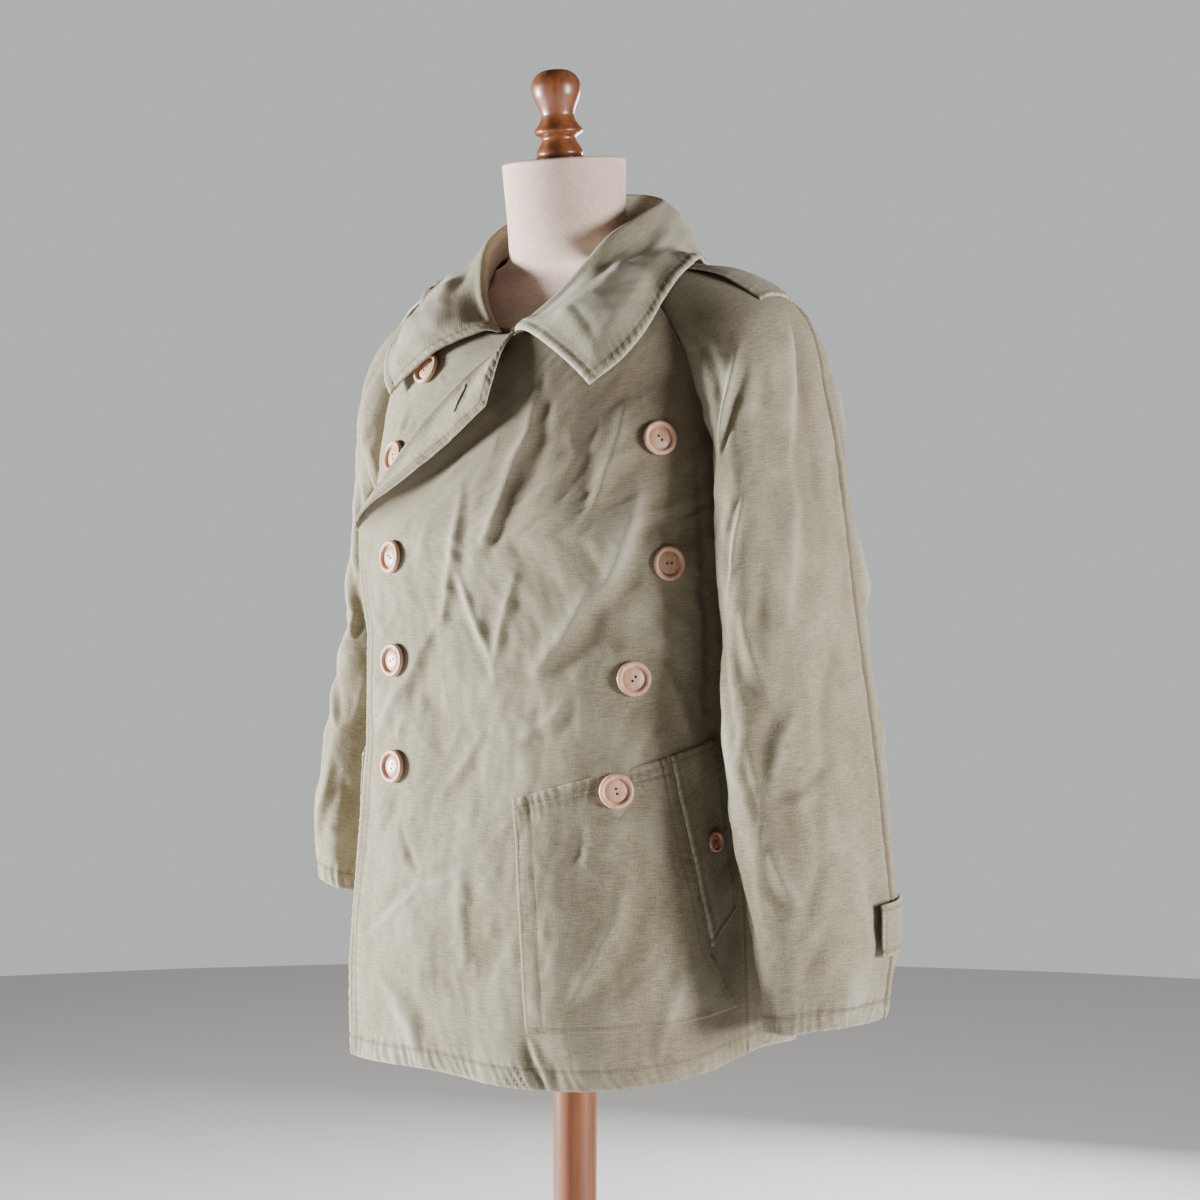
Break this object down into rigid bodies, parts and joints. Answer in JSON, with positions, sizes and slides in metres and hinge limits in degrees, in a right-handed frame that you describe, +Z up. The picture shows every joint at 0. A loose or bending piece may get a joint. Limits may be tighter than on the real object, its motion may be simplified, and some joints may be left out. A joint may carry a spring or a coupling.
{
  "type": "military jacket on a limbless dress form",
  "caption": "Hip-length double-breasted canvas jacket with raglan sleeves, wide collar, turned-back front corner and slanted patch pockets, on a limbless dress form with a round base.",
  "frame": {"origin": "on the floor under the middle of the round base, at the centre of its underside", "axes": "+Z up; the jacket faces -Y; +X is to the wearer's left"},
  "size_m": [0.6537, 0.41, 1.5914],
  "materials": {
    "canvas": "matt faded olive cotton canvas, single layer",
    "folded_canvas": "matt faded olive cotton canvas, folded double and topstitched",
    "linen": "matt beige linen stretched over a firm torso",
    "varnished_wood": "satin orange-brown varnish over turned wood",
    "tan_button": "satin pinkish tan, turned with a raised rim",
    "red_button": "satin red-brown, four holes"
  },
  "bodies": {
    "root": {"left_front": "canvas", "right_front": "canvas", "back": "canvas", "left_sleeve_front": "canvas", "left_sleeve_back": "canvas", "right_sleeve_front": "canvas", "right_sleeve_back": "canvas", "left_pocket": "canvas", "right_pocket": "canvas", "left_pocket_flap": "canvas", "right_pocket_flap": "canvas", "left_lapel": "canvas", "neck_tab": "canvas", "collar": "folded_canvas", "left_shoulder_strap": "folded_canvas", "right_shoulder_strap": "folded_canvas", "left_cuff_strap": "folded_canvas", "right_cuff_strap": "folded_canvas", "form_body": "linen", "form_finial": "varnished_wood", "stand_pole": "varnished_wood", "stand_base": "varnished_wood", "front_button_1": "tan_button", "front_button_2": "tan_button", "front_button_3": "tan_button", "front_button_4": "tan_button", "front_button_5": "tan_button", "front_button_6": "tan_button", "front_button_7": "tan_button", "front_button_8": "tan_button", "front_button_9": "tan_button", "left_flap_button": "red_button", "right_flap_button": "red_button"}
  },
  "joints": []
}
